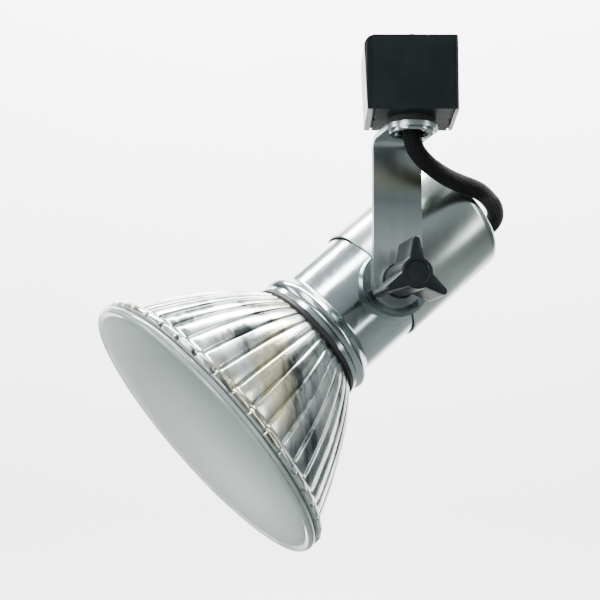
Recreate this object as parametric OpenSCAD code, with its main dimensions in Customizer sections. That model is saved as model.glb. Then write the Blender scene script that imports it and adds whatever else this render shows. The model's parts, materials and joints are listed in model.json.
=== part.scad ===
// Track spotlight: a track adapter, a swivelling strap bracket, and a tilting lamp housing
// with a reflector lamp. Millimetres, +Z up. The origin is the middle of the adapter's top
// seat, on the stem's axis, and the track runs along X.

/* [Track adapter] */
// Length of the adapter box along the track
adapter_length = 34; // [32:1:60]
// Depth of the adapter box across the track
adapter_depth = 32; // [30:1:50]
// Height of the adapter box
adapter_height = 29; // [27:1:40]
// How far the contact blades stand above the seat
contact_reach = 3.4; // [1:0.2:8]

/* [Bracket] */
// Width of the strap
strap_width = 20; // [18:1:26]
// Thickness of the strap
strap_thickness = 2; // [1.5:0.1:2.4]
// Distance from the stem's axis to the strap's outer face
strap_offset = 17; // [15:1:20]
// Distance from the track seat down to the pivot
pivot_drop = 89.3; // [82:0.5:130]
// Swivel of the bracket at rest, about the stem
swivel_rest = 15.5; // [0:0.5:60]

/* [Lamp housing] */
// Angle of the housing below horizontal at rest
tilt_rest = 41.4; // [0:0.2:90]
// Outer radius of the front tube
tube_radius = 24.2; // [23.5:0.1:24.4]
// Outer radius of the rear sleeve
sleeve_radius = 25.3; // [25.2:0.1:27]
// Length of the rear sleeve
sleeve_length = 50; // [49.6:0.2:60]
// Largest radius of the rolled collar
collar_radius = 27.5; // [26.8:0.1:28]

/* [Lamp] */
// Radius of the lamp's rim
rim_radius = 61.4; // [61:0.1:62]
// Focal length of the reflector's outer surface
focal_length = 13.6; // [13.2:0.1:13.7]

/* [Knob] */
// Reach of the knob's lobes from its axis
lobe_reach = 14; // [12:0.5:20]
// Depth of the knob from the strap to its face
knob_height = 22.5; // [20:0.5:26]

/* [Hidden] */
$fn = 96;
eps = 0.01;

// Adapter heights, measured down from the seat
floor_z = -adapter_height;
wall = 2;
cover_thickness = 2.6;
end_plate = 1.5;
lean_top = 1.9;
lean_bottom = 0.7;
groove = 0.8;
washer_thickness = 2.5;
tab_top = floor_z - washer_thickness;
tab_bottom = tab_top - strap_thickness;

// Stem
stem_radius = 6.9;
stem_bore = 5.5;
flange_radius = 8.8;
flange_thickness = 1.3;
locknut_height = 4;
stem_top = floor_z + wall + locknut_height + 2;

// Places along the pivot axis, measured from the stem axis towards the housing
tube_offset = strap_offset + 31;
strap_inner = strap_offset + strap_thickness;

// Places along the housing's axis, measured from the bracket side's reference point:
// positive towards the lens. The pivot is a little off the housing's axis.
pivot_along = 3.3;
pivot_off = -3.3;
sleeve_front = 2.1;
sleeve_back = sleeve_front - sleeve_length;
sleeve_wall = 0.7;
tube_wall = 1;
tube_back = -8;
collar_mid = 33.4;
collar_front = 37.8;
back_inside = sleeve_back + 1.2;

// Lead entry in the back wall, off the axis
entry_off = -12.5;
entry_side = 4.4;
lead_radius = 3.5;

// Lampholder, bottom to mouth
holder_radius = 19.4;
holder_back = back_inside + 4.6;
holder_mouth = -3;
shell_radius = 13.9;

// Lamp
neck_radius = 17.6;
neck_back = 13;
base_end = -26;
burner_low = 31;
parabola_start = 27.5;
glass = 3;
flange_place = 90;
seam_place = 91.8;
ring_place = 93.6;
rim_round = 2;
lens_radius = 57.4;

// Pivot bolt and knob, measured along the pivot axis from the strap's outer face outwards
bolt_radius = 3;
bolt_head = -10.4;
knob_washer_thickness = 1.5;
hub_radius = 6.2;
lobe_depth = 17;
lobe_angles = [92, 210, 327];

// Lead: where its centre line runs, beside the bracket, in the bracket's own frame
lead_route = [
    [0, 0, -20.5], [0, 0, -27], [0, 0, -33], [0.7, 1.2, -36.5], [3.2, 3.4, -40.3],
    [8.3, 6.5, -43.9], [14.2, 9.8, -46.2], [19.5, 13.4, -47.4], [24, 16.4, -48],
    [27.8, 18.6, -48.5], [31, 19.8, -49], [33.8, 20.8, -49.5], [36.5, 22.4, -49.9],
    [39.6, 25.4, -50.4], [43, 29.4, -51], [46.8, 33.8, -52.2], [49.8, 38.4, -54],
    [51.4, 43, -56], [51.2, 47.3, -58], [49.4, 50.6, -59.3], [46.6, 52.4, -60.6],
    [45, 52.4, -61.9], [43.1, 52.4, -63.6]
];

steel = [0.62, 0.65, 0.66];
black = [0.10, 0.11, 0.12];
brass = [0.78, 0.62, 0.30];
porcelain = [0.93, 0.92, 0.88];
clear = [0.85, 0.90, 0.92];

// ---- frames ----

// The bracket's frame: turned about the stem
module bracket_frame() {
    rotate([0, 0, swivel_rest]) children();
}

// The housing's frame: Z towards the lens, X upwards, Y along the pivot
module housing_frame() {
    bracket_frame()
        translate([pivot_x(), tube_offset, pivot_z()])
            rotate([0, -90 - tilt_rest, 0]) children();
}

// Where the housing's reference point is, so that its pivot meets the bracket's
function pivot_x() = pivot_along * cos(tilt_rest) + pivot_off * sin(tilt_rest);
function pivot_z() = -pivot_drop + pivot_along * sin(tilt_rest) - pivot_off * cos(tilt_rest);

// The pivot's frame: Z outwards from the strap's outer face, X as the bracket's
module pivot_frame() {
    bracket_frame()
        translate([0, strap_offset, -pivot_drop])
            rotate([90, 0, 0]) children();
}

// ---- shapes ----

module ring(outer, inner, low, high) {
    difference() {
        translate([0, 0, low]) cylinder(r = outer, h = high - low);
        translate([0, 0, low - 1]) cylinder(r = inner, h = high - low + 2);
    }
}

module hexagon(flats, low, high) {
    translate([0, 0, low]) cylinder(r = flats / sqrt(3), h = high - low, $fn = 6);
}

// A block centred on X and Y whose upright edges are rounded
module rounded_block(length, depth, low, high, radius) {
    translate([0, 0, low])
        linear_extrude(high - low)
            union() {
                square([length - 2 * radius, depth], center = true);
                square([length, depth - 2 * radius], center = true);
                for (x = [-1, 1], y = [-1, 1])
                    translate([x * (length / 2 - radius), y * (depth / 2 - radius)])
                        circle(r = radius, $fn = 48);
            }
}

// Points of an arc in a profile, from angle a to angle b about [x, y]
function arc(x, y, radius, a, b, steps = 8) =
    [for (i = [0 : steps]) let (w = a + (b - a) * i / steps)
        [x + radius * cos(w), y + radius * sin(w)]];

// Radius of the reflector's outer surface at a place along the lamp
function bowl(place) = sqrt(4 * focal_length * (place - parabola_start));

// ---- adapter ----

// Everything outside the adapter's top left edge, which is rounded
module top_left_edge() {
    edge = 4.5;
    x = -adapter_length / 2 - lean_top;
    difference() {
        translate([x - 1, -adapter_depth, -edge])
            cube([edge + 1, 2 * adapter_depth, edge + 1]);
        translate([x + edge, 0, -edge]) rotate([90, 0, 0])
            cylinder(r = edge, h = 3 * adapter_depth, center = true);
    }
}

module adapter_housing() {
    inner_length = adapter_length - 2 * end_plate;
    notch = 1.4;
    boss = 8;
    color(black)
    difference() {
        union() {
            difference() {
                rounded_block(inner_length, adapter_depth, floor_z, -cover_thickness, eps);
                rounded_block(inner_length - 2 * wall, adapter_depth - 2 * wall,
                              floor_z + wall, 0, 1.5);
            }
            cover_screw_places() translate([0, 0, -cover_thickness - boss])
                cylinder(r = 2.8, h = boss);
        }
        translate([0, 0, floor_z - 1]) cylinder(r = stem_radius + 0.1, h = wall + 2);
        for (side = [-1, 1]) translate([side * inner_length / 2, 0, floor_z]) {
            cube([2 * groove, 2 * adapter_depth, 2], center = true);
            rotate([0, 0, 45]) cube([2 * notch, 2 * notch, 2], center = true);
        }
        cover_screw_places() translate([0, 0, -cover_thickness - boss]) cylinder(r = 1.05, h = 9);
    }
}

module cover_screw_places() {
    for (side = [-1, 1])
        translate([side * (adapter_length / 2 - end_plate - wall - 2.4),
                   -side * (adapter_depth / 2 - wall - 2.4), 0]) children();
}

// An end plate whose outer face stands out by these amounts at the top and bottom
module adapter_end_plate(top_out, bottom_out) {
    radius = 1.6;
    outer = adapter_length / 2;
    inner = outer - end_plate;
    intersection() {
        rounded_block(adapter_length + 2 * top_out, adapter_depth, floor_z, 0, radius);
        rotate([90, 0, 0]) linear_extrude(2 * adapter_depth, center = true) polygon([
            [inner, floor_z], [outer + bottom_out, floor_z], [outer + top_out, 0], [inner, 0]
        ]);
    }
}

// The left end's outer face leans out towards the top
module adapter_end_plate_left() {
    color(black)
    difference() {
        mirror([1, 0, 0]) adapter_end_plate(lean_top, lean_bottom);
        top_left_edge();
    }
}

module adapter_end_plate_right() { color(black) adapter_end_plate(0, 0); }

// Windows for the blades and clearance for the screw heads
module adapter_cover() {
    color(black)
    difference() {
        rounded_block(adapter_length - 2 * end_plate, adapter_depth,
                      -cover_thickness, 0, eps);
        for (y = contact_places) translate([0, y, 0]) cube([8, 2.4, 20], center = true);
        cover_screw_places() {
            translate([0, 0, -cover_thickness - 1]) cylinder(r = 1.3, h = 5);
            translate([0, 0, -1.4]) cylinder(r = 2.3, h = 5);
        }
        top_left_edge();
    }
}

// Where the blades stand across the track: earth, neutral and live
contact_places = [-6, 2.6, 6.4];

// A sprung blade: a foot against the housing's end wall, and a round tip through its window
module contact_blade(y) {
    tip = 2.5;
    foot = adapter_length / 2 - end_plate - wall;
    color(brass)
    translate([0, y, 0]) {
        translate([-3, -0.4, -cover_thickness - 7])
            cube([6, 0.8, cover_thickness + 7 + contact_reach - tip]);
        translate([-foot, -0.4, -cover_thickness - 7]) cube([foot - 2.5, 0.8, 3]);
        intersection() {
            translate([0, 0, contact_reach - 3]) rotate([90, 0, 0])
                cylinder(r = 3, h = 0.8, center = true);
            translate([0, 0, contact_reach]) cube([6, 2, 2 * tip + 0.4], center = true);
        }
    }
}

module contact_live() { contact_blade(contact_places[2]); }
module contact_neutral() { contact_blade(contact_places[1]); }
module contact_earth() { contact_blade(contact_places[0]); }

module cover_screws() {
    color(steel)
    cover_screw_places() difference() {
        union() {
            translate([0, 0, -1.4]) cylinder(r = 2.1, h = 1.1);
            translate([0, 0, -9.5]) cylinder(r = 1, h = 8.2);
        }
        translate([0, 0, -0.3]) cube([5, 0.6, 1], center = true);
    }
}

// ---- stem and bracket ----

module stem() {
    color(steel)
    rotate_extrude() polygon([
        [stem_bore, stem_top], [stem_radius, stem_top], [stem_radius, tab_bottom],
        [flange_radius, tab_bottom], [flange_radius, tab_bottom - flange_thickness + 0.5],
        [flange_radius - 0.5, tab_bottom - flange_thickness],
        [stem_bore + 1, tab_bottom - flange_thickness],
        [stem_bore, tab_bottom - flange_thickness + 1]
    ]);
}

module stem_locknut() {
    low = floor_z + wall;
    color(steel)
    difference() {
        hexagon(19, low, low + locknut_height);
        translate([0, 0, low - 1]) cylinder(r = stem_radius, h = locknut_height + 2);
    }
}

module swivel_washer() {
    color(black) ring(strap_width / 2 - 0.6, stem_radius, tab_top, floor_z);
}

// The tab with a round end under the adapter, a bend, and the upright with a round end
module bracket() {
    bend = 6;
    half = strap_width / 2;
    color(steel)
    bracket_frame()
    difference() {
        union() {
            translate([0, 0, tab_bottom]) cylinder(r = half, h = strap_thickness);
            translate([-half, 0, tab_bottom])
                cube([strap_width, strap_inner - bend, strap_thickness]);
            translate([-half, strap_offset, -pivot_drop])
                cube([strap_width, strap_thickness, pivot_drop + tab_top - bend]);
            translate([0, strap_inner, -pivot_drop]) rotate([90, 0, 0])
                cylinder(r = half, h = strap_thickness);
            intersection() {
                translate([0, strap_inner - bend, tab_top - bend]) rotate([0, 90, 0])
                    ring(bend, bend - strap_thickness, -half, half);
                translate([-half - 1, strap_inner - bend, tab_top - bend])
                    cube([strap_width + 2, bend + 1, bend + 1]);
            }
        }
        translate([0, 0, tab_bottom - 1])
            cylinder(r = stem_radius + 0.05, h = strap_thickness + 2);
        translate([0, strap_inner + 1, -pivot_drop]) rotate([90, 0, 0])
            cylinder(r = bolt_radius + 0.05, h = strap_thickness + 2);
    }
}

// ---- lead and wires: round tubes swept along a list of points ----

function unit(v) = v / norm(v);
function tangent(p, i) =
    unit(p[min(i + 1, len(p) - 1)] - p[max(i - 1, 0)]);
// One ring of the tube. The route never runs along the reference vector, so rings don't twist.
function tube_ring(p, i, radius, sides, reference) =
    let (t = tangent(p, i), u = unit(cross(t, reference)), v = cross(t, u))
    [for (k = [0 : sides - 1]) let (w = 360 * k / sides)
        p[i] + radius * (cos(w) * u + sin(w) * v)];

module swept_tube(p, radius, sides, reference) {
    rings = len(p);
    points = [for (i = [0 : rings - 1]) each tube_ring(p, i, radius, sides, reference)];
    sidewalls = [for (i = [0 : rings - 2], k = [0 : sides - 1])
        let (a = i * sides + k, b = i * sides + (k + 1) % sides)
        [b, a, a + sides, b + sides]];
    first = [for (k = [0 : sides - 1]) k];
    last = [for (k = [sides - 1 : -1 : 0]) (rings - 1) * sides + k];
    polyhedron(points = points, faces = concat([first], sidewalls, [last]), convexity = 6);
}

module lead() {
    color(black) bracket_frame() swept_tube(lead_route, lead_radius, 12, [0.5, -0.86, 0.1]);
}

// Each wire goes from the lead's end, round the back of the lampholder, to a terminal
module wire(side) {
    color(side > 0 ? [0.1, 0.1, 0.1] : [0.9, 0.9, 0.9])
    housing_frame()
    swept_tube([
        [entry_off, entry_side + side * 1.4, back_inside + 1.45],
        [entry_off + 0.3, entry_side + side * 1.5, back_inside + 2.1],
        [entry_off + 1.4, entry_side + side * 2, back_inside + 2.5],
        [entry_off + 3, 0.7 * entry_side + side * 4.4, back_inside + 2.5],
        [-7.4, side * 8.4, back_inside + 2.5],
        [-4.4, side * 11, back_inside + 2.5],
        [-3.6, side * 12.4, back_inside + 2.5]
    ], 1, 8, [0, 0, 1]);
}

// Three short wires inside the adapter, from the lead's top to the blades' feet
module supply_wires() {
    foot_z = -cover_thickness - 7;
    lead_top = lead_route[0][2];
    color([0.1, 0.1, 0.1])
    for (i = [0 : 2]) let (y = contact_places[i], start = (i - 1) * 2)
        swept_tube([
            [-0.6, start, lead_top + 0.5], [-0.8, start, lead_top + 2.5],
            [-3.2, 0.5 * (start + y), foot_z - 6.5], [-6, 0.1 * start + 0.9 * y, foot_z - 4.4],
            [-7, y, foot_z - 2.4], [-7, y, foot_z]
        ], 0.85, 8, [0.5, -0.86, 0.1]);
}

module wire_live() { wire(1); }
module wire_neutral() { wire(-1); }

// ---- lamp housing ----

// Room for the pivot bolt through the housing's near wall
module pivot_hole(radius) {
    translate([pivot_off, -tube_offset + strap_offset - 1, pivot_along])
        rotate([-90, 0, 0]) cylinder(r = radius, h = 16);
}

module front_tube() {
    inner = tube_radius - tube_wall;
    roll = collar_radius - 1.6;
    color(steel)
    housing_frame()
    difference() {
        rotate_extrude() polygon(concat(
            [[inner, tube_back], [tube_radius, tube_back], [tube_radius, collar_mid - 5]],
            [[tube_radius + 0.6, collar_mid - 4.4], [collar_radius - 1.4, collar_mid - 3]],
            arc(collar_radius - 2.6, collar_mid, 2.6, -60, 60),
            [[collar_radius - 1.2, collar_front], [collar_radius - 2.2, collar_front]],
            [[roll - 0.4, collar_mid + 2.4], [roll - 0.2, collar_mid - 1.6]],
            [[inner, collar_mid - 4]]
        ));
        pivot_hole(bolt_radius + 0.1);
    }
}

// A cup with a rounded back edge, open towards the lens
module rear_sleeve() {
    edge = 4.5;
    inner = sleeve_radius - sleeve_wall;
    color(steel)
    housing_frame()
    difference() {
        rotate_extrude() polygon(concat(
            [[0, back_inside], [0, sleeve_back]],
            arc(sleeve_radius - edge, sleeve_back + edge, edge, -90, 0),
            [[sleeve_radius, sleeve_front], [inner, sleeve_front]],
            arc(sleeve_radius - edge, sleeve_back + edge, edge - sleeve_wall, 0, -65),
            [[sleeve_radius - edge, back_inside]]
        ));
        pivot_hole(bolt_radius + 0.1);
        translate([entry_off, entry_side, sleeve_back - 1]) cylinder(r = 4.6, h = 4);
        holder_screw_places() translate([0, 0, sleeve_back - 1]) cylinder(r = 1.7, h = 4);
    }
}

// A round boss shaped to the sleeve on one side and flat against the strap on the other
module pivot_saddle() {
    radius = 13.8;
    color(steel)
    difference() {
        pivot_frame() difference() {
            union() {
                translate([0, 0, -strap_thickness - 12])
                    cylinder(r = radius, h = 11);
                translate([0, 0, -strap_thickness - 1]) cylinder(r = radius - 1, h = 1);
            }
            translate([0, 0, -20]) cylinder(r = bolt_radius + 0.1, h = 30);
        }
        housing_frame() {
            translate([0, 0, -40]) cylinder(r = sleeve_radius + 0.02, h = 40 + sleeve_front + 0.02);
            cylinder(r = tube_radius + 0.02, h = 60);
        }
    }
}

// The bolt's head and the plate under it are inside the tube
module pivot_bolt() {
    color(steel)
    pivot_frame() {
        translate([0, 0, bolt_head]) cylinder(r = bolt_radius, h = knob_height - bolt_head - 6.5);
        translate([0, 0, bolt_head - 1.2]) cylinder(r = 4.5, h = 1.2);
    }
}

module backing_plate() {
    color(steel)
    difference() {
        pivot_frame() translate([0, 0, bolt_head]) cylinder(r = 6, h = 7);
        pivot_frame() translate([0, 0, bolt_head - 1]) cylinder(r = bolt_radius + 0.05, h = 12);
        housing_frame() difference() {
            cylinder(r = 60, h = 100, center = true);
            cylinder(r = tube_radius - tube_wall - 0.02, h = 110, center = true);
        }
    }
}

// A flange outside the back wall, a neck through it and a lip inside; its mouth is flared
module rear_bushing() {
    color(black)
    housing_frame() translate([entry_off, entry_side, sleeve_back])
        rotate_extrude() polygon([
            [lead_radius + 0.2, -0.6], [lead_radius + 1, -2.4], [5.2, -2.4], [6.2, -1.4],
            [6.2, 0], [4.6, 0], [4.6, 1.2], [5.2, 1.2], [4.9, 1.8], [lead_radius + 0.2, 1.8]
        ]);
}

// ---- lampholder ----

module holder_screw_places() {
    for (side = [-1, 1]) translate([4, side * 14.5, 0]) children();
}

module lampholder_body() {
    color(porcelain)
    housing_frame()
    difference() {
        rotate_extrude() polygon([
            [0, holder_back], [holder_radius - 3, holder_back],
            [holder_radius, holder_back + 6], [holder_radius, holder_mouth - 1.5],
            [holder_radius - 1.5, holder_mouth], [shell_radius + 0.6, holder_mouth],
            [shell_radius + 0.02, holder_mouth - 1.5], [shell_radius + 0.02, holder_back + 7],
            [0, holder_back + 7]
        ]);
        holder_screw_places() translate([0, 0, holder_back - 1]) cylinder(r = 1.55, h = 7);
        translate([0, 0, holder_back - 1]) cylinder(r = 1.6, h = 10);
    }
}

module lampholder_shell() {
    low = holder_back + 7;
    color(brass)
    housing_frame() {
        ring(shell_radius, shell_radius - 0.5, low, holder_mouth - 2);
        ring(shell_radius - 0.2, 8, low, low + 0.6);
    }
}

module lampholder_contact() {
    low = holder_back + 7;
    color(brass)
    housing_frame() {
        translate([0, 0, holder_back]) cylinder(r = 1.55, h = 7);
        translate([0, 0, low]) cylinder(r = 4, h = 0.6);
        translate([-3, -2, low + 0.6]) cube([1, 4, 2]);
        translate([-3, -2, low + 2.6]) cube([6.5, 4, 0.6]);
    }
}

// Steel plate on the back wall with two feet that carry the lampholder
module lampholder_plate() {
    color(steel)
    housing_frame()
    difference() {
        union() {
            translate([-2, -18, back_inside]) cube([11, 36, 1]);
            for (side = [-1, 1]) translate([1, side * 14.5 - 2.5, back_inside])
                cube([6, 5, holder_back - back_inside]);
        }
        holder_screw_places() translate([0, 0, back_inside - 1]) cylinder(r = 1.55, h = 8);
    }
}

module lampholder_screws() {
    color(steel)
    housing_frame() holder_screw_places() difference() {
        union() {
            translate([0, 0, sleeve_back - 1.5]) cylinder(r = 2.8, h = 1.5);
            translate([0, 0, sleeve_back]) cylinder(r = 1.5, h = 10);
        }
        translate([0, 0, sleeve_back - 1.5]) {
            cube([4, 0.7, 1.4], center = true);
            cube([0.7, 4, 1.4], center = true);
        }
    }
}

module terminal_screws() {
    color(brass)
    housing_frame() for (side = [-1, 1])
        translate([-3.2, side * 14.4, back_inside + 1.8])
            cylinder(r = 1.9, h = holder_back - back_inside - 1.8);
}

// ---- knob ----

module knob_washer() {
    color(steel) pivot_frame() ring(7, bolt_radius + 0.05, 0, knob_washer_thickness);
}

// Hub with three lobes that narrow towards their tips, and a round recess in its face
module knob() {
    back = knob_washer_thickness;
    lobe_low = knob_height - lobe_depth;
    base_half = 3.1;
    tip_half = 1.5;
    color(black)
    pivot_frame()
    difference() {
        union() {
            translate([0, 0, back]) cylinder(r = hub_radius + 0.3, h = knob_height - back);
            for (angle = lobe_angles) rotate([0, 0, angle])
                translate([0, 0, lobe_low]) linear_extrude(lobe_depth - 0.4)
                    polygon(concat(
                        [[1, -base_half - 1.2], [hub_radius - 0.6, -base_half]],
                        arc(lobe_reach - tip_half, 0, tip_half, -80, 80, 6),
                        [[hub_radius - 0.6, base_half], [1, base_half + 1.2]]
                    ));
        }
        translate([0, 0, knob_height - 1.2]) cylinder(r = 4.5, h = 2);
        translate([0, 0, back - 1]) cylinder(r = 4.5, h = knob_height - back - 4);
    }
}

module knob_insert() {
    color(brass)
    pivot_frame() ring(4.5, bolt_radius + 0.05, knob_washer_thickness, knob_height - 5);
}

module knob_cap() {
    color(black)
    pivot_frame() translate([0, 0, knob_height - 1.2]) cylinder(r = 4.4, h = 0.8);
}

// ---- lamp ----

module collar_gasket() {
    low = collar_front - 1.4;
    high = collar_front + 2.2;
    color(black)
    housing_frame()
    rotate_extrude() polygon([
        [bowl(low) + 0.3, low], [collar_radius - 2.4, low],
        [collar_radius - 2.4, collar_front + 0.05],
        [collar_radius - 1.1, collar_front + 0.05],
        [bowl(high) + 0.9, high - 0.6], [bowl(high) + 0.3, high]
    ]);
}

// Points of the reflector's outer or inner surface between two places
function bowl_line(from, to, inset, steps = 10) =
    [for (i = [0 : steps]) let (s = from + (to - from) * i / steps)
        [bowl(s) - inset, s]];

module lamp_reflector() {
    neck_top = parabola_start + pow(neck_radius, 2) / (4 * focal_length);
    inner_start = neck_top + 3.5;
    color(clear)
    housing_frame()
    rotate_extrude() polygon(concat(
        [[neck_radius - 3, neck_back], [neck_radius, neck_back], [neck_radius, neck_top]],
        bowl_line(neck_top + 1, flange_place - 3.4, 0),
        arc(rim_radius - rim_round, flange_place, rim_round, -70, 60),
        [[rim_radius - 1.2, seam_place], [lens_radius - 5, seam_place]],
        bowl_line(flange_place - 3.4, inner_start, glass),
        [[8, inner_start - 3], [8, inner_start - 6], [neck_radius - 3, inner_start - 8]]
    ));
}

// A shallow dome inside a thick clear rim
module lamp_lens() {
    sag = 4;
    dome = (pow(lens_radius, 2) + pow(sag, 2)) / (2 * sag);
    top = ring_place + 1.2;
    function dome_line(height, radius, a, b) =
        [for (i = [0 : 10]) let (w = a + (b - a) * i / 10)
            [radius * sin(w), height + radius * cos(w)]];
    half_angle = asin(lens_radius / dome);
    color(clear)
    housing_frame()
    rotate_extrude() polygon(concat(
        dome_line(top + sag - dome, dome, 0, half_angle),
        [[lens_radius + 0.8, top + 0.5]],
        arc(rim_radius - rim_round, ring_place, rim_round, 60, -60),
        [[rim_radius - 1.2, seam_place + 0.02], [lens_radius - 5, seam_place + 0.02]],
        dome_line(top + sag - dome - glass, dome, half_angle * 0.9, 0)
    ));
}

// Skirt round the glass neck, and the screw shell
module lamp_base() {
    screw = 13;
    color(steel)
    housing_frame()
    rotate_extrude() polygon([
        [neck_radius + 0.02, 20], [neck_radius + 0.6, 20], [neck_radius + 0.6, 3],
        [screw + 1.6, -1.5], [screw, -2.5], [screw, base_end + 2], [screw - 2.6, base_end],
        [screw - 3, base_end + 0.4], [screw - 0.5, base_end + 2.3], [screw - 0.5, -2.5],
        [screw + 1, -1], [neck_radius + 0.02, 3.3]
    ]);
}

module lamp_base_insulator() {
    color([0.12, 0.10, 0.16])
    housing_frame() rotate_extrude() polygon([
        [3.1, base_end - 4.2], [4.6, base_end - 4.2], [9.9, base_end],
        [9.9, base_end + 0.4], [3.1, base_end + 0.4]
    ]);
}

module lamp_base_contact() {
    color(steel)
    housing_frame() rotate_extrude() polygon([
        [0, base_end - 5.8], [2, base_end - 5.6], [3.1, base_end - 4.8],
        [3.1, base_end + 0.4], [0, base_end + 0.4]
    ]);
}

// The halogen capsule on the reflector's axis, round its focus
module lamp_burner() {
    top = burner_low + 22;
    color(clear)
    housing_frame() rotate_extrude() polygon(concat(
        [[0, burner_low], [3.4, burner_low], [3.4, burner_low + 5]],
        [[5.6, burner_low + 8], [5.6, top]],
        arc(0, top, 5.6, 0, 90)
    ));
}

// Two stiff wires from the base, through the neck, to the capsule's pinch
module burner_leads() {
    color(steel)
    housing_frame() for (side = [-1, 1])
        translate([side * 1.6, 0, base_end + 0.4])
            cylinder(r = 0.6, h = burner_low - base_end - 0.4, $fn = 24);
}

// ---- nodes ----

adapter_housing();
adapter_cover();
adapter_end_plate_left();
adapter_end_plate_right();
contact_live();
contact_neutral();
contact_earth();
supply_wires();
cover_screws();
stem();
stem_locknut();
swivel_washer();
bracket();
lead();
front_tube();
rear_sleeve();
pivot_saddle();
pivot_bolt();
backing_plate();
rear_bushing();
lampholder_body();
lampholder_shell();
lampholder_contact();
lampholder_plate();
lampholder_screws();
terminal_screws();
wire_live();
wire_neutral();
knob_washer();
knob();
knob_insert();
knob_cap();
collar_gasket();
lamp_reflector();
lamp_lens();
lamp_base();
lamp_base_insulator();
lamp_base_contact();
lamp_burner();
burner_leads();
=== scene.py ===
"""Looks of the track spotlight: detailed lamp, knob, lead and metal, built round the CAD frame."""

import json
from math import cos, degrees, pi, radians, sin, sqrt

import bmesh
import bpy
from mathutils import Matrix, Vector


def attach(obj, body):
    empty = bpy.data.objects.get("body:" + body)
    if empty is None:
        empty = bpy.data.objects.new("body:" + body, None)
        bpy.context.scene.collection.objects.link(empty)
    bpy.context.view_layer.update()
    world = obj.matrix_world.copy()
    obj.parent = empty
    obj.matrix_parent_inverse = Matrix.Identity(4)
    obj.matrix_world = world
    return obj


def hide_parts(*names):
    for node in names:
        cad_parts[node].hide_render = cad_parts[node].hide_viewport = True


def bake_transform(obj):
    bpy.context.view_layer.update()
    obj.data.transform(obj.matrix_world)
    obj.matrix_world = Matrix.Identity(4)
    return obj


MM = 0.001
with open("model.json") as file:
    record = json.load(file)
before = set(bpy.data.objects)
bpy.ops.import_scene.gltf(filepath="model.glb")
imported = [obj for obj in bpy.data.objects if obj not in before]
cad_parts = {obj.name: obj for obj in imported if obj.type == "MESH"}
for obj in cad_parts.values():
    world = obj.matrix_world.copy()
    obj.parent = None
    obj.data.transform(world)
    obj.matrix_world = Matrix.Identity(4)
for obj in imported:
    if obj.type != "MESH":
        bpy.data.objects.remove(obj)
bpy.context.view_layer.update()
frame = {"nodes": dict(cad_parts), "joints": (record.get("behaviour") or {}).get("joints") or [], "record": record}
joints = {j["name"]: j for j in frame["joints"]}

# ---- frames, taken from the joints ----

UP = Vector((0, 0, 1))
OUTWARD = Vector(joints["tilt"]["axis"]).normalized()  # along the pivot, away from the housing
LAMP_AXIS = Vector(joints["lamp_turn"]["axis"]).normalized()  # towards the lens


def axes(x, y, z, origin):
    """A matrix whose columns are these axes and this origin."""
    m = Matrix((x, y, z)).transposed().to_4x4()
    m.translation = origin
    return m


bracket_frame = axes((-OUTWARD).cross(UP), -OUTWARD, UP, Vector())
housing_frame = axes(
    (-OUTWARD).cross(LAMP_AXIS), -OUTWARD, LAMP_AXIS, Vector(joints["lamp_turn"]["pos_m"])
)
pivot_frame = axes(
    (-OUTWARD).cross(UP), UP, OUTWARD, Vector(joints["knob_turn"]["pos_m"])
)

# ---- sizes, in millimetres, as the CAD has them ----

TUBE_R, SLEEVE_R, COLLAR_R = 24.2, 25.3, 27.5
COLLAR_MID, COLLAR_FRONT = 33.4, 37.8
SLEEVE_FRONT, SLEEVE_BACK = 2.1, -47.9
FOCAL, BOWL_START = 13.6, 27.5
NECK_R, NECK_BACK = 17.6, 13.0
RIM_R, FLANGE_PLACE, SEAM_PLACE, RING_PLACE = 61.4, 90.0, 91.8, 93.6
GLASS = 3.0
FLANGE_ROUND, RING_ROUND = 1.9, 1.95
RIBS = 40
KNOB_HEIGHT, KNOB_BACK, LOBE_LOW = 22.5, 1.5, 5.5
HUB_R, LOBE_REACH, TIP_HALF, BASE_HALF = 6.5, 14.0, 1.5, 3.1
LOBES = (92, 210, 327)
LEAD_D = 7.0
STRANDS, STRANDS_PER_TURN = 14, 5

# ---- camera ----


def add_camera():
    """Below the adapter and a little left of it, looking slightly up."""
    distance, height, side = 0.6271, -0.1998, -0.0461
    azimuth, elevation = radians(0.29), radians(9.11)
    data = bpy.data.cameras.new("camera")
    data.sensor_width = 36
    data.lens = 100.8
    camera = bpy.data.objects.new("camera", data)
    bpy.context.scene.collection.objects.link(camera)
    camera.location = (side, -distance, height)
    camera.rotation_euler = (pi / 2 + elevation, 0, -azimuth)
    bpy.context.scene.camera = camera


# ---- meshes ----


def mesh_object(name, vertices, faces, body, slot, sharp=32):
    """A smooth-shaded object on a CAD body, its edges sharper than the given degrees kept crisp."""
    mesh = bpy.data.meshes.new(name)
    mesh.from_pydata([tuple(v) for v in vertices], [], faces)
    bm = bmesh.new()
    bm.from_mesh(mesh)
    bmesh.ops.remove_doubles(bm, verts=bm.verts, dist=1e-6)
    bmesh.ops.recalc_face_normals(bm, faces=bm.faces)
    for face in bm.faces:
        face.smooth = True
    for edge in bm.edges:
        if len(edge.link_faces) == 2 and edge.calc_face_angle(0) > radians(sharp):
            edge.smooth = False
    bm.to_mesh(mesh)
    bm.free()
    piece = bpy.data.objects.new(name, mesh)
    bpy.context.scene.collection.objects.link(piece)
    if body:
        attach(piece, body)
    if slot:
        piece.data.materials.append(MATERIALS[slot])
    return piece


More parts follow.
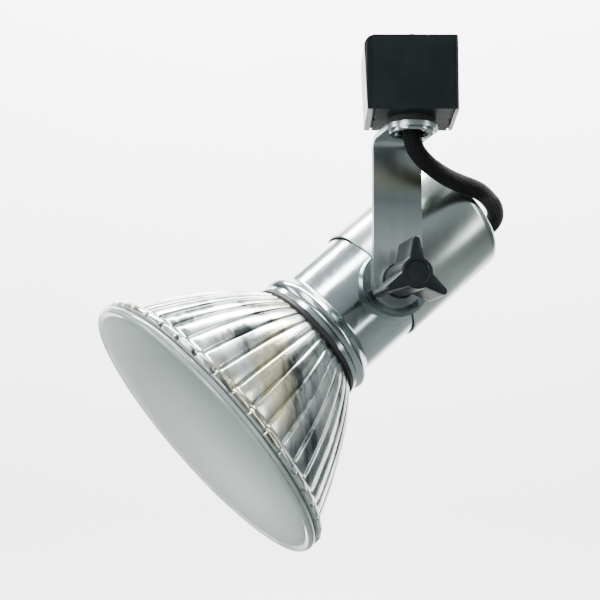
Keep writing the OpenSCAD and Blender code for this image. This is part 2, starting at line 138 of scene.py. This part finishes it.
def revolve(name, profile, place, body, slot, around=192, ripple=None, sharp=32):
    """Turns a closed profile of (radius, along) points round the frame's Z.

    ripple(radius, along, turn), in metres and radians, is added to each radius.
    """
    vertices, faces = [], []
    count = len(profile)
    for k in range(around):
        turn = 2 * pi * k / around
        for radius, along in profile:
            r = radius + (ripple(radius, along, turn) if ripple else 0)
            vertices.append(place @ Vector((r * cos(turn), r * sin(turn), along)))
    for k in range(around):
        a, b = k * count, (k + 1) % around * count
        for i in range(count):
            j = (i + 1) % count
            if profile[i][0] > 0 or profile[j][0] > 0:
                faces.append((a + i, a + j, b + j, b + i))
    return mesh_object(name, vertices, faces, body, slot, sharp)


def arc(x, y, radius, start, end, steps=12):
    """Points of an arc, in degrees, in a profile."""
    turns = [radians(start + (end - start) * i / steps) for i in range(steps + 1)]
    return [(x + radius * cos(t), y + radius * sin(t)) for t in turns]


def in_metres(profile):
    return [(r * MM, z * MM) for r, z in profile]


def soften(piece, width, segments=2, angle=35):
    """Rounds the edges of a piece by this many millimetres."""
    bevel = piece.modifiers.new("soft_edges", "BEVEL")
    bevel.width = width * MM
    bevel.segments = segments
    bevel.limit_method = "ANGLE"
    bevel.angle_limit = radians(angle)
    bevel.harden_normals = True


# How far the edges of the CAD's own pieces are rounded, in millimetres
EDGE_ROUNDS = {
    "adapter_housing": 0.35, "adapter_end_plate_left": 0.35, "adapter_end_plate_right": 0.35,
    "adapter_cover": 0.2, "bracket": 0.35, "pivot_saddle": 0.5, "knob_washer": 0.2,
    "knob_cap": 0.2, "swivel_washer": 0.3, "stem": 0.2,
}


# ---- materials ----


class Nodes:
    """A material's node tree, with short calls for the nodes used here."""

    def __init__(self, name):
        self.material = bpy.data.materials.new(name)
        self.material.use_nodes = True
        self.tree = self.material.node_tree
        self.shader = self.tree.nodes["Principled BSDF"]

    def add(self, kind, **settings):
        node = self.tree.nodes.new(kind)
        for key, value in settings.items():
            if hasattr(node, key):
                setattr(node, key, value)
            else:
                node.inputs[key.replace("_", " ")].default_value = value
        return node

    def link(self, source, target):
        self.tree.links.new(source, target)

    def set(self, **values):
        for key, value in values.items():
            self.shader.inputs[key.replace("_", " ")].default_value = value

    def place(self, scale=(1, 1, 1), turn=(0, 0, 0), uv=False):
        """Texture coordinates on the object, stretched and turned."""
        coordinates = self.add("ShaderNodeTexCoord")
        mapping = self.add("ShaderNodeMapping")
        mapping.inputs["Scale"].default_value = scale
        mapping.inputs["Rotation"].default_value = turn
        self.link(coordinates.outputs["UV" if uv else "Object"], mapping.inputs["Vector"])
        return mapping.outputs["Vector"]

    def noise(self, vector, scale, detail=3.0, roughness=0.5):
        node = self.add("ShaderNodeTexNoise")
        node.inputs["Scale"].default_value = scale
        node.inputs["Detail"].default_value = detail
        node.inputs["Roughness"].default_value = roughness
        self.link(vector, node.inputs["Vector"])
        return node.outputs["Fac"]

    def spread(self, factor, low, high, start=0.0, end=1.0):
        """factor, from start to end, turned into low to high."""
        node = self.add("ShaderNodeMapRange")
        for key, value in (
            ("From Min", start), ("From Max", end), ("To Min", low), ("To Max", high),
        ):
            node.inputs[key].default_value = value
        self.link(factor, node.inputs["Value"])
        return node.outputs["Result"]

    def colours(self, factor, *stops):
        """A ramp through (position, (r, g, b)) stops."""
        ramp = self.add("ShaderNodeValToRGB").color_ramp
        while len(ramp.elements) < len(stops):
            ramp.elements.new(0.5)
        for element, (position, colour) in zip(ramp.elements, stops):
            element.position = position
            element.color = (*colour, 1)
        node = self.tree.nodes[-1]
        self.link(factor, node.inputs["Fac"])
        return node.outputs["Color"]

    def multiply(self, one, other):
        mix = self.add("ShaderNodeMix", data_type="RGBA", blend_type="MULTIPLY")
        mix.inputs["Factor"].default_value = 1
        self.link(one, mix.inputs["A"])
        self.link(other, mix.inputs["B"])
        return mix.outputs["Result"]

    def bump(self, height, strength, distance):
        node = self.add("ShaderNodeBump")
        node.inputs["Strength"].default_value = strength
        node.inputs["Distance"].default_value = distance
        self.link(height, node.inputs["Height"])
        self.link(node.outputs["Normal"], self.shader.inputs["Normal"])

    def to(self, socket, name):
        self.link(socket, self.shader.inputs[name])


LAMP_TURN = housing_frame.to_3x3().transposed().to_euler()


def metal(name, light, dark, rough=(0.15, 0.3), grain=None, turn=(0, 0, 0), bump=0.05, painted_reflection_bands=None):
    """Metal with cloudy tone, fine grain along one direction and uneven polish.

    The height stops, if given, as (height in millimetres, tint), are painted reflection: bands of light and dark
    laid on it from its lowest point up.
    """
    n = Nodes(name)
    clouds = n.noise(n.place(), 60, 4)
    lines = n.noise(n.place(grain or (1, 1, 1), turn), 400, 3)
    tone = n.colours(clouds, (0.3, dark), (0.7, light))
    # Painted reflection: optional bands of tint by height, standing in for the surroundings seen in the metal.
    if painted_reflection_bands:
        height = n.add("ShaderNodeSeparateXYZ")
        n.link(n.place(), height.inputs["Vector"])
        low, high = painted_reflection_bands[0][0], painted_reflection_bands[-1][0]
        share = n.spread(height.outputs["Z"], 0, 1, low * MM, high * MM)
        stops = [((z - low) / (high - low), tint) for z, tint in painted_reflection_bands]
        tone = n.multiply(tone, n.colours(share, *stops))
    n.to(tone, "Base Color")
    n.to(n.spread(lines, *rough, 0.3, 0.7), "Roughness")
    n.bump(lines, bump, 0.0001)
    n.set(Metallic=1.0)
    return n.material


def plastic(name, colour, rough=(0.2, 0.35), bump=0.08, scale=1200, shine=0.4):
    """Moulded plastic with fine spark texture and faint handling marks."""
    n = Nodes(name)
    marks = n.noise(n.place(), 45, 5, 0.6)
    spark = n.noise(n.place(), scale, 2)
    lighter = tuple(c * 1.35 + 0.002 for c in colour)
    n.to(n.colours(marks, (0.35, colour), (0.75, lighter)), "Base Color")
    n.to(n.spread(marks, *rough, 0.3, 0.75), "Roughness")
    n.bump(spark, bump, 0.00008)
    n.set(IOR=1.5, Specular_IOR_Level=shine)
    return n.material


def rubber(name, colour):
    """Dull rubber or fibre with a dusting of paler specks."""
    n = Nodes(name)
    dust = n.noise(n.place(), 150, 5, 0.7)
    n.to(n.colours(dust, (0.4, colour), (0.8, tuple(c * 2 + 0.01 for c in colour))), "Base Color")
    n.to(n.spread(dust, 0.55, 0.8), "Roughness")
    n.bump(dust, 0.2, 0.0002)
    return n.material


def sleeve_weave():
    """Black woven sleeving: two crossing sets of strands, lighter on their crowns, with painted shade darkening
    the hollows between them.
    """
    n = Nodes("lead_sleeve")
    uv = n.add("ShaderNodeSeparateXYZ")
    n.link(n.place(uv=True), uv.inputs["Vector"])

    def strand(sign):
        total = n.add("ShaderNodeMath", operation="MULTIPLY_ADD")
        n.link(uv.outputs["Y"], total.inputs[0])
        total.inputs[1].default_value = sign * 2 * pi
        around = n.add("ShaderNodeMath", operation="MULTIPLY")
        n.link(uv.outputs["X"], around.inputs[0])
        around.inputs[1].default_value = 2 * pi * STRANDS
        n.link(around.outputs[0], total.inputs[2])
        wave = n.add("ShaderNodeMath", operation="SINE")
        n.link(total.outputs[0], wave.inputs[0])
        return wave.outputs[0]

    product = n.add("ShaderNodeMath", operation="MULTIPLY")
    n.link(strand(1), product.inputs[0])
    n.link(strand(-1), product.inputs[1])
    fibres = n.noise(n.place(), 900, 3)
    height = n.add("ShaderNodeMath", operation="MULTIPLY_ADD")
    n.link(fibres, height.inputs[0])
    height.inputs[1].default_value = 0.5
    n.link(product.outputs[0], height.inputs[2])
    # Colour by the weave's height: painted shade in the hollows, lighter crowns.
    n.to(
        n.colours(
            n.spread(height.outputs[0], 0, 1, -0.8, 1.4),
            (0.2, (0.002, 0.002, 0.0025)),
            (0.6, (0.006, 0.0063, 0.007)),
            (1, (0.022, 0.022, 0.024)),
        ),
        "Base Color",
    )
    n.to(n.spread(fibres, 0.45, 0.75), "Roughness")
    n.bump(height.outputs[0], 0.7, 0.0004)
    n.set(Specular_IOR_Level=0.12)
    return n.material


def mirrored_glass():
    """Aluminised glass: bright metal with streaks down the ribs and faint warm tints."""
    n = Nodes("reflector_glass")
    place = n.place((1, 1, 0.25), LAMP_TURN)
    streaks = n.noise(place, 90, 4, 0.6)
    tint = n.noise(n.place(), 28, 2)
    silver = n.colours(
        streaks, (0.38, (0.09, 0.11, 0.105)), (0.48, (0.50, 0.56, 0.53)), (0.66, (0.80, 0.86, 0.82))
    )
    warm = n.colours(tint, (0.56, (1, 1, 1)), (0.68, (1.0, 0.86, 0.62)))
    n.to(n.multiply(silver, warm), "Base Color")
    n.to(n.spread(streaks, 0.16, 0.3), "Roughness")
    n.bump(streaks, 0.25, 0.0006)
    n.set(Metallic=0.92, Coat_Weight=0.6, Coat_Roughness=0.03)
    return n.material


def clear_glass(name):
    """Thick clear pressed glass, grey-green in its depth."""
    n = Nodes(name)
    swirl = n.noise(n.place(), 70, 3)
    n.to(n.colours(swirl, (0.3, (0.46, 0.55, 0.53)), (0.7, (0.72, 0.80, 0.78))), "Base Color")
    n.to(n.spread(swirl, 0.03, 0.12), "Roughness")
    n.bump(swirl, 0.15, 0.0005)
    n.set(IOR=1.5, Transmission_Weight=0.45, Coat_Weight=0.5)
    return n.material


def frosted_glass():
    """The lens: etched glass with painted light and shade, darker inside its upper edge and paler towards its
    lower end.
    """
    n = Nodes("lens_glass")
    grain = n.noise(n.place(), 1600, 2)
    # Painted light and shade: paler round a point near the lens's lower end and darker further off, standing in
    # for light coming through the frosted glass.
    spot = n.add("ShaderNodeVectorMath", operation="DISTANCE")
    n.link(n.place(), spot.inputs[0])
    spot.inputs[1].default_value = housing_frame @ Vector((-0.030, -0.012, 0.098))
    uneven = n.add("ShaderNodeMath", operation="MULTIPLY_ADD")
    n.link(n.noise(n.place(), 22, 2), uneven.inputs[0])
    uneven.inputs[1].default_value = 0.012
    n.link(spot.outputs["Value"], uneven.inputs[2])
    n.to(
        n.colours(
            n.spread(uneven.outputs[0], 0, 1, 0.0, 0.1),
            (0.12, (0.68, 0.77, 0.73)), (0.45, (0.40, 0.49, 0.45)), (0.72, (0.23, 0.30, 0.27)),
            (0.9, (0.30, 0.38, 0.35)),
        ),
        "Base Color",
    )
    n.to(n.spread(grain, 0.38, 0.55), "Roughness")
    n.bump(grain, 0.12, 0.0001)
    n.set(IOR=1.5, Transmission_Weight=0.12)
    return n.material


def glazed(name, colour):
    """Glazed ceramic or glass with a faintly uneven surface."""
    n = Nodes(name)
    cloud = n.noise(n.place(), 50, 3)
    n.to(n.colours(cloud, (0.3, tuple(c * 0.93 for c in colour)), (0.7, colour)), "Base Color")
    n.to(n.spread(cloud, 0.08, 0.2), "Roughness")
    n.bump(cloud, 0.05, 0.0002)
    n.set(Coat_Weight=0.4)
    return n.material


def bulb_glass(name):
    """Thin clear glass with a trace of haze."""
    n = Nodes(name)
    haze = n.noise(n.place(), 120, 2)
    n.to(n.spread(haze, 0.01, 0.06), "Roughness")
    n.to(n.colours(haze, (0.3, (0.9, 0.92, 0.92)), (0.7, (1, 1, 1))), "Base Color")
    n.set(Transmission_Weight=0.95, IOR=1.46)
    return n.material


MATERIALS = {
    "adapter_plastic": plastic("adapter_plastic", (0.0095, 0.0130, 0.0140), (0.4, 0.55), 0.05,
                               shine=0.03),
    "end_plate_plastic": plastic("end_plate_plastic", (0.007, 0.009, 0.010), (0.2, 0.32), 0.04, shine=0.16),
    "brass": metal("brass", (0.80, 0.62, 0.30), (0.66, 0.48, 0.20)),
    "wire_black": plastic("wire_black", (0.02, 0.02, 0.02), (0.35, 0.5)),
    "wire_white": plastic("wire_white", (0.8, 0.8, 0.78), (0.35, 0.5)),
    "plated_steel": metal("plated_steel", (0.50, 0.54, 0.54), (0.34, 0.38, 0.38), (0.12, 0.24)),
    "fibre_black": rubber("fibre_black", (0.014, 0.014, 0.014)),
    "satin_steel": metal(
        "satin_steel", (0.90, 0.95, 0.95), (0.80, 0.86, 0.86), (0.28, 0.31), (1, 1, 0.04),
        bump=0.005,
        # Painted reflection: lighter and darker bands by height, and a khaki band, stand in for the room seen in
        # the strap's satin steel.
        painted_reflection_bands=(
            (-100, (0.95, 0.97, 0.95)), (-76, (0.84, 0.87, 0.85)), (-66, (0.58, 0.62, 0.61)),
            (-57, (0.36, 0.40, 0.40)), (-48, (0.60, 0.59, 0.46)), (-40, (0.46, 0.50, 0.50)),
            (-34, (0.62, 0.66, 0.66)),
        ),
    ),
    "lead_sleeve": sleeve_weave(),
    "polished_chrome": metal(
        "polished_chrome", (0.53, 0.60, 0.60), (0.42, 0.48, 0.48), (0.12, 0.2),
        (1, 1, 0.03), LAMP_TURN, bump=0.02,
    ),
    "satin_sleeve": metal(
        "satin_sleeve", (0.50, 0.57, 0.53), (0.43, 0.49, 0.455), (0.24, 0.27), (1, 1, 0.03),
        LAMP_TURN, bump=0.004,
    ),
    "porcelain": glazed("porcelain", (0.86, 0.84, 0.79)),
    "knob_plastic": plastic("knob_plastic", (0.0085, 0.0115, 0.0125), (0.26, 0.4), 0.12, 900, shine=0.25),
    "gasket_rubber": rubber("gasket_rubber", (0.010, 0.011, 0.012)),
    "reflector_glass": mirrored_glass(),
    "lens_glass": frosted_glass(),
    "base_metal": metal("base_metal", (0.76, 0.70, 0.55), (0.62, 0.56, 0.42)),
    "base_insulator": glazed("base_insulator", (0.05, 0.04, 0.07)),
    "solder": metal("solder", (0.6, 0.6, 0.6), (0.4, 0.4, 0.42), (0.3, 0.5)),
    "quartz": bulb_glass("quartz"),
}
RIM_GLASS = clear_glass("rim_glass")


def paint_cad_nodes():
    """Gives every CAD node the material of its slot in the record."""
    slots = {s["node"]: s["material_slot"] for s in frame["record"]["subparts"]}
    for name, piece in frame["nodes"].items():
        material = MATERIALS[slots[name]]
        if not piece.data.materials:
            piece.data.materials.append(material)
        for place in piece.material_slots:
            place.material = material


# ---- lead ----

# The lead's route in the bracket's frame, in millimetres, as in the CAD
LEAD_ROUTE = [
    (0, 0, -20.5), (0, 0, -27), (0, 0, -33), (0.7, 1.2, -36.5), (3.2, 3.4, -40.3),
    (8.3, 6.5, -43.9), (14.2, 9.8, -46.2), (19.5, 13.4, -47.4), (24, 16.4, -48),
    (27.8, 18.6, -48.5), (31, 19.8, -49), (33.8, 20.8, -49.5), (36.5, 22.4, -49.9),
    (39.6, 25.4, -50.4), (43, 29.4, -51), (46.8, 33.8, -52.2), (49.8, 38.4, -54),
    (51.4, 43, -56), (51.2, 47.3, -58), (49.4, 50.6, -59.3), (46.6, 52.4, -60.6),
    (45, 52.4, -61.9), (43.1, 52.4, -63.6),
]


def smooth_route(points, per_span=8):
    """A smooth curve through the points."""
    p = [points[0], *points, points[-1]]
    curve = []
    for i in range(1, len(p) - 2):
        for k in range(per_span):
            t = k / per_span
            curve.append(
                0.5 * (
                    2 * p[i] + (p[i + 1] - p[i - 1]) * t
                    + (2 * p[i - 1] - 5 * p[i] + 4 * p[i + 1] - p[i + 2]) * t * t
                    + (3 * p[i] - p[i - 1] - 3 * p[i + 1] + p[i + 2]) * t ** 3
                )
            )
    return [*curve, points[-1]]


def add_lead(sides=32):
    """The woven sleeve, round in the stem and bushing and a little flattened between them."""
    route = smooth_route([bracket_frame @ (Vector(p) * MM) for p in LEAD_ROUTE])
    gone = [0.0]
    for a, b in zip(route, route[1:]):
        gone.append(gone[-1] + (b - a).length)
    length = gone[-1]
    vertices, uvs, faces = [], [], []
    reference = Vector(bracket_frame.to_3x3() @ Vector((0.5, -0.86, 0.1)))
    for i, point in enumerate(route):
        along = (route[min(i + 1, len(route) - 1)] - route[max(i - 1, 0)]).normalized()
        across = along.cross(reference).normalized()
        other = along.cross(across)
        share = gone[i] / length
        flat = 0.12 * sin(pi * min(max((share - 0.2) / 0.6, 0), 1)) ** 2
        for k in range(sides):
            turn = 2 * pi * k / sides
            half = LEAD_D / 2 * MM
            vertices.append(
                point
                + across * half * (1 + flat) * cos(turn)
                + other * half * (1 - flat) * sin(turn)
            )
    for i in range(len(route) - 1):
        for k in range(sides):
            a, b = i * sides + k, i * sides + (k + 1) % sides
            faces.append((a, b, b + sides, a + sides))
            low, high = (g / (LEAD_D * MM) * STRANDS_PER_TURN for g in gone[i:i + 2])
            left, right = k / sides, (k + 1) / sides
            uvs.extend([(left, low), (right, low), (right, high), (left, high)])
    mesh = bpy.data.meshes.new("lead_sleeving")
    mesh.from_pydata([tuple(v) for v in vertices], [], faces)
    layer = mesh.uv_layers.new(name="strands")
    for corner, uv in zip(layer.data, uvs):
        corner.uv = uv
    for face in mesh.polygons:
        face.use_smooth = True
    bm = bmesh.new()
    bm.from_mesh(mesh)
    bmesh.ops.holes_fill(bm, edges=[e for e in bm.edges if e.is_boundary])
    bm.to_mesh(mesh)
    bm.free()
    lead = bpy.data.objects.new("lead_sleeving", mesh)
    bpy.context.scene.collection.objects.link(lead)
    lead.data.materials.append(MATERIALS["lead_sleeve"])
    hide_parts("lead")
    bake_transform(lead)


# ---- lamp ----


def bowl(along):
    """The reflector's outer radius at a place along the lamp, in millimetres."""
    return sqrt(4 * FOCAL * (along - BOWL_START))


def add_reflector():
    """Pressed glass: a ribbed bowl, a flange beaded like the ribs, and a plain neck."""
    neck_top = BOWL_START + NECK_R ** 2 / (4 * FOCAL)
    low, high = neck_top + 1, FLANGE_PLACE - 3.2
    steps = 48
    outer = [(bowl(low + (high - low) * i / steps), low + (high - low) * i / steps)
             for i in range(steps + 1)]
    flange = arc(RIM_R - 2.0, FLANGE_PLACE - 0.2, FLANGE_ROUND, -75, 55, 10)
    inner_start = neck_top + 3.5
    inner = [(bowl(high + (inner_start - high) * i / steps) - GLASS,
              high + (inner_start - high) * i / steps) for i in range(steps + 1)]
    profile = (
        [(NECK_R - 3, NECK_BACK), (NECK_R, NECK_BACK), (NECK_R, neck_top)]
        + outer + flange
        + [(RIM_R - 1.5, SEAM_PLACE - 0.25), (RIM_R - 6, SEAM_PLACE - 0.05)]
        + inner
        + [(8, inner_start - 3), (8, inner_start - 6), (NECK_R - 3, inner_start - 8)]
    )
    last = outer[-1][1]

    def ripple(radius, along, turn):
        r, z = radius / MM, along / MM
        if z > SEAM_PLACE - 0.6 or z < low or r < bowl(min(z, last)) - 0.1:
            return 0
        u = (turn * RIBS / (2 * pi)) % 1 * 2 - 1
        crown = 1 - u * u
        valley = max(0.0, (abs(u) - 0.78) / 0.22) ** 1.5
        if z > last + 0.01:
            return (0.1 * crown - 1.0 * valley ** 0.7) * MM
        fade = min(1.0, (z - low) / 6) * (1.0 - 0.5 * max(0.0, (z - last + 3) / 3))
        return fade * (0.55 * crown - 0.7 * valley) * (r / 45) * MM

    piece = revolve(
        "lamp_reflector_ribbed", in_metres(profile), housing_frame, "lamp", "reflector_glass",
        around=RIBS * 20, ripple=ripple, sharp=50,
    )
    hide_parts("lamp_reflector")
    glaze(piece, lambda r, z: z > SEAM_PLACE - 1.1 and r > RIM_R - 7)


def glaze(piece, outside):
    """Gives the faces of the clear rim its own glass. outside(radius, along) picks them."""
    piece.data.materials.append(RIM_GLASS)
    inverse = housing_frame.inverted()
    for face in piece.data.polygons:
        place = inverse @ face.center
        if outside(Vector((place.x, place.y)).length / MM, place.z / MM):
            face.material_index = 1


def add_lens():
    """A shallow frosted dome, steeper at its edge, inside a narrow clear rim."""
    face_r, sag, back_sag = RIM_R - 3.4, 3.9, 3.2
    edge = RING_PLACE + 1.2

    def swell(r, height, power):
        return height * (1 - (r / face_r) ** power) ** (1 / power * 1.6)

    spots = [1 - (1 - i / 28) ** 2 for i in range(29)]
    front = [(face_r * u, edge + swell(face_r * u, sag, 2.4)) for u in spots]
    back = [(face_r * u, edge - GLASS + swell(face_r * u, back_sag, 2.4))
            for u in reversed(spots) if face_r * u < RIM_R - 7]
    rim = (
        [(face_r + 0.2, edge - 0.2), (face_r + 0.5, edge + 0.15)]
        + arc(RIM_R - RING_ROUND, RING_PLACE, RING_ROUND, 62, 16, 6)
        + [(RIM_R - 0.5, RING_PLACE + 0.32), (RIM_R - 0.04, RING_PLACE + 0.1)]
        + arc(RIM_R - RING_ROUND, RING_PLACE, RING_ROUND, -3, -55, 8)
        + [(RIM_R - 1.3, SEAM_PLACE + 0.3), (RIM_R - 6, SEAM_PLACE + 0.05)]
    )
    piece = revolve(
        "lamp_lens_frosted", in_metres(front + rim + back), housing_frame, "lamp",
        "lens_glass", sharp=28,
    )
    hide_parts("lamp_lens")
    glaze(piece, lambda r, z: r > face_r + 0.05)


# ---- housing ----


def add_front_tube():
    """The polished tube, its mouth rolled into a round collar with a turned-in lip."""
    inner = TUBE_R - 1
    roll = COLLAR_R - 2.6
    profile = (
        [(inner, -8), (TUBE_R, -8), (TUBE_R, COLLAR_MID - 5.6)]
        + arc(TUBE_R + 1.6, COLLAR_MID - 5.6, 1.6, 180, 128, 6)
        + arc(roll, COLLAR_MID, 2.6, -38, 62, 16)
        + arc(COLLAR_R - 1.9, COLLAR_FRONT - 0.7, 0.7, 30, 150, 8)
        + [(COLLAR_R - 2.4, COLLAR_MID + 2.4), (COLLAR_R - 2.2, COLLAR_MID - 1.6),
           (inner, COLLAR_MID - 4)]
    )
    piece = revolve("front_tube_polished", in_metres(profile), housing_frame, "head",
                    "polished_chrome", sharp=40)
    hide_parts("front_tube")


def add_rear_sleeve():
    """The satin cup with a rolled back edge and a fine bead at its open edge."""
    edge = 4.5
    inner = SLEEVE_R - 0.7
    back_inside = SLEEVE_BACK + 1.2
    profile = (
        [(0, back_inside), (0, SLEEVE_BACK)]
        + arc(SLEEVE_R - edge, SLEEVE_BACK + edge, edge, -90, 0)
        + arc(SLEEVE_R - 0.35, SLEEVE_FRONT - 0.35, 0.35, 0, 180, 6)
        + arc(SLEEVE_R - edge, SLEEVE_BACK + edge, edge - 0.7, 0, -65)
        + [(SLEEVE_R - edge, back_inside)]
    )
    piece = revolve("rear_sleeve_satin", in_metres(profile), housing_frame, "head",
                    "satin_sleeve", sharp=40)
    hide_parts("rear_sleeve")


# ---- knob ----


def knob_outline(turn):
    """The knob's radius at an angle, in millimetres: a round hub with three tapering lobes."""
    reach = HUB_R
    for lobe in LOBES:
        off = abs((degrees(turn) - lobe + 180) % 360 - 180)
        if off > 80:
            continue
        c, s = cos(radians(off)), sin(radians(off))
        x1, y1, x2, y2 = HUB_R - 0.9, BASE_HALF, LOBE_REACH - TIP_HALF, TIP_HALF
        slope = (y2 - y1) / (x2 - x1)
        side = (y1 - slope * x1) / max(s - slope * c, 1e-6)
        if side * c <= x2 and s > slope * c:
            reach = max(reach, side)
        else:
            middle = LOBE_REACH - TIP_HALF
            inside = TIP_HALF ** 2 - (middle * s) ** 2
            if inside > 0:
                reach = max(reach, middle * c + sqrt(inside))
    return reach


def add_knob(around=720):
    """Three-lobed knob with rounded edges and a round recess in its face."""
    radius, recess, depth = 1.0, 4.5, 1.2
    top = KNOB_HEIGHT
    turns = [2 * pi * k / around for k in range(around)]
    outline = [knob_outline(t) for t in turns]
    for _ in range(6):
        outline = [
            (outline[k - 1] + 2 * outline[k] + outline[(k + 1) % around]) / 4
            for k in range(around)
        ]
    rings = [([HUB_R - 1.2] * around, KNOB_BACK), ([HUB_R - 0.2] * around, KNOB_BACK + 0.6),
             ([HUB_R - 0.3] * around, LOBE_LOW)]
    rings.append(([r - 0.4 for r in outline], LOBE_LOW))
    rings.append((outline, LOBE_LOW + 0.4))
    for i in range(1, 7):
        rings.append((outline, LOBE_LOW + (top - radius - LOBE_LOW) * i / 6))
    for i in range(1, 7):
        w = pi / 2 * i / 6
        rings.append(([r - radius * 0.8 * (1 - cos(w)) for r in outline],
                      top - radius + radius * sin(w)))
    rings += [([recess + 0.25] * around, top), ([recess + 0.05] * around, top - 0.2),
              ([recess] * around, top - depth), ([0] * around, top - depth)]
    vertices, faces = [], []
    for radii, height in rings:
        for r, t in zip(radii, turns):
            vertices.append(pivot_frame @ (Vector((r * cos(t), r * sin(t), height)) * MM))
    for i in range(len(rings) - 1):
        for k in range(around):
            a, b = i * around + k, i * around + (k + 1) % around
            faces.append((a, b, b + around, a + around))
    piece = mesh_object("knob_lobed", vertices, faces, "knob", "knob_plastic", sharp=40)
    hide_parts("knob")


# ---- studio ----


def area_light(name, place, towards, size, power):
    data = bpy.data.lights.new(name, "AREA")
    data.shape = "RECTANGLE"
    data.size, data.size_y = size
    data.energy = power
    light = bpy.data.objects.new(name, data)
    bpy.context.scene.collection.objects.link(light)
    light.location = place
    light.rotation_euler = (Vector(towards) - Vector(place)).to_track_quat("-Z", "Y").to_euler()


def add_studio():
    """A floor, dark below the view, sweeping up into a pale wall; soft lights; a room to reflect."""
    floor_z, wall_y, bend, width = -0.62, 1.6, 0.5, 3.0
    outline = [(-2.0, floor_z), (0.3, floor_z), (wall_y - bend, floor_z)]
    outline += [(wall_y - bend + bend * sin(pi / 2 * i / 16),
                 floor_z + bend - bend * cos(pi / 2 * i / 16)) for i in range(1, 17)]
    outline.append((wall_y, 1.4))
    vertices = [(side * width / 2, y, z) for side in (-1, 1) for y, z in outline]
    count = len(outline)
    faces = [(i, i + 1, count + i + 1, count + i) for i in range(count - 1)]
    floor = mesh_object("studio_floor", vertices, faces, None, None)
    n = Nodes("studio_paper")
    height = n.add("ShaderNodeSeparateXYZ")
    n.link(n.place(), height.inputs["Vector"])
    paper = n.add("ShaderNodeMath", operation="MULTIPLY_ADD")
    n.link(n.noise(n.place(), 6, 3), paper.inputs[0])
    paper.inputs[1].default_value = 0.06
    n.link(n.spread(height.outputs["Z"], 0, 0.94, floor_z, floor_z + 0.3), paper.inputs[2])
    n.to(n.colours(paper.outputs[0], (0.0, (0.05, 0.055, 0.055)), (1.0, (0.92, 0.92, 0.92))),
         "Base Color")
    n.set(Roughness=0.9)
    floor.data.materials.append(n.material)

    middle = (-0.03, 0.03, -0.1)
    area_light("key", (-0.29, -0.66, 0.97), middle, (0.42, 0.3), 11)
    area_light("front", (-0.9, -1.1, 0.6), middle, (0.7, 0.7), 14)
    area_light("side", (1.3, -0.6, 0.2), middle, (0.25, 1.4), 9)
    area_light("left", (-1.2, -0.1, 0.1), middle, (0.25, 0.9), 7)
    area_light("under", (-0.8, -0.7, -0.5), middle, (0.6, 0.4), 9)
    area_light("wall", (0.0, 0.5, 1.4), (0, 1.6, 0.1), (2.4, 0.4), 280)

    world = bpy.data.worlds.new("room")
    world.use_nodes = True
    bpy.context.scene.world = world
    tree = world.node_tree
    background = tree.nodes["Background"]
    background.inputs["Strength"].default_value = 1.0
    where = tree.nodes.new("ShaderNodeTexCoord")
    parts = tree.nodes.new("ShaderNodeSeparateXYZ")
    tree.links.new(where.outputs["Generated"], parts.inputs["Vector"])
    sky = tree.nodes.new("ShaderNodeValToRGB")
    tree.links.new(parts.outputs["Z"], sky.inputs["Fac"])
    sky.color_ramp.elements[0].position = 0.0
    sky.color_ramp.elements[0].color = (0.10, 0.11, 0.12, 1)
    sky.color_ramp.elements[1].position = 0.9
    sky.color_ramp.elements[1].color = (0.75, 0.80, 0.84, 1)
    tree.links.new(sky.outputs["Color"], background.inputs["Color"])


add_camera()
add_lead()
paint_cad_nodes()
add_reflector()
add_lens()
add_front_tube()
add_rear_sleeve()
add_knob()
for node, width in EDGE_ROUNDS.items():
    soften(frame["nodes"][node], width)
add_studio()
